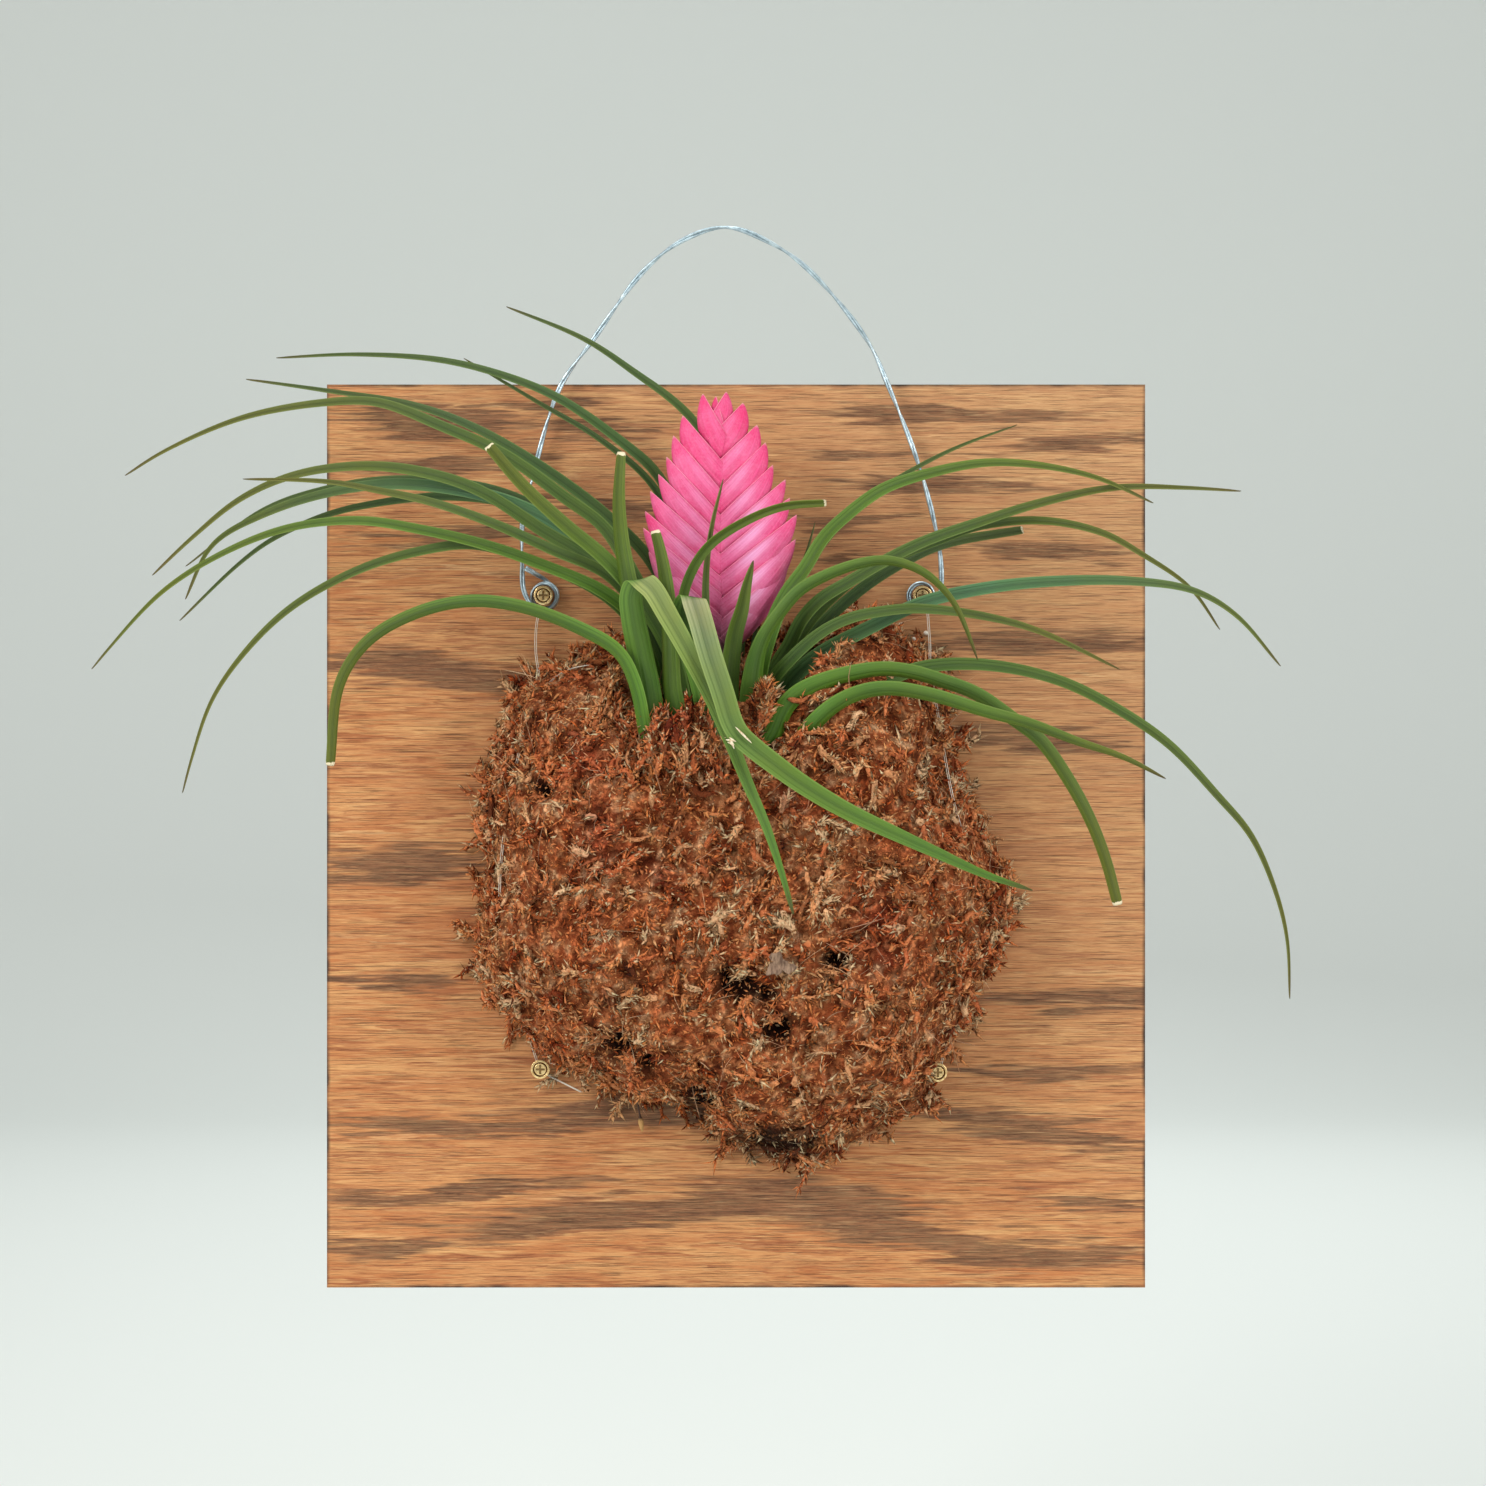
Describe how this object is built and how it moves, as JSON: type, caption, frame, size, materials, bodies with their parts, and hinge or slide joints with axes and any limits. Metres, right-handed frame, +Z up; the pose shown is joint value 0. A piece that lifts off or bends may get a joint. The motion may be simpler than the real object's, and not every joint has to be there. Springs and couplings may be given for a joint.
{
  "type": "pink quill",
  "caption": "Air-plant with arching channelled leaves and a flat pink paddle of bracts, its root ball wrapped in moss and tied to a wooden board that hangs from a wire loop.",
  "frame": {"origin": "centre of the board's flat back face", "axes": "+Y out of the board's back toward the wall, +Z up toward the hanging wire, +X to the right seen from the front"},
  "size_m": [0.3832, 0.0797, 0.3499],
  "materials": {
    "board": "satin orange-brown stain",
    "screws": "dull yellow brass",
    "wire": "bright twisted steel",
    "crown": "matte plant stem",
    "quill": "satin pink bract",
    "moss": "rough rusty-brown fibre",
    "line": "clear fishing line",
    "leaves": "satin green leaf"
  },
  "bodies": {
    "root": {"board": "board", "hanging_wire": "wire", "crown": "crown", "quill": "quill", "moss_ball": "moss", "line_left": "line", "line_right": "line", "screw_upper_left": "screws", "screw_upper_right": "screws", "screw_lower_left": "screws", "screw_lower_right": "screws", "leaf_left_1": "leaves", "leaf_left_2": "leaves", "leaf_left_3": "leaves", "leaf_left_4": "leaves", "leaf_left_5": "leaves", "leaf_left_6": "leaves", "leaf_left_7": "leaves", "leaf_left_8": "leaves", "leaf_left_9": "leaves", "leaf_left_10": "leaves", "leaf_left_11": "leaves", "leaf_left_12": "leaves", "leaf_left_13": "leaves", "leaf_left_14": "leaves", "leaf_front_1": "leaves", "leaf_front_2": "leaves", "leaf_front_3": "leaves", "leaf_front_4": "leaves", "leaf_front_5": "leaves", "leaf_front_6": "leaves", "leaf_front_7": "leaves", "leaf_right_1": "leaves", "leaf_right_2": "leaves", "leaf_right_3": "leaves", "leaf_right_4": "leaves", "leaf_right_5": "leaves", "leaf_right_6": "leaves", "leaf_right_7": "leaves", "leaf_right_8": "leaves", "leaf_right_9": "leaves", "leaf_right_10": "leaves", "leaf_right_11": "leaves", "leaf_right_12": "leaves", "leaf_right_13": "leaves"}
  },
  "joints": []
}
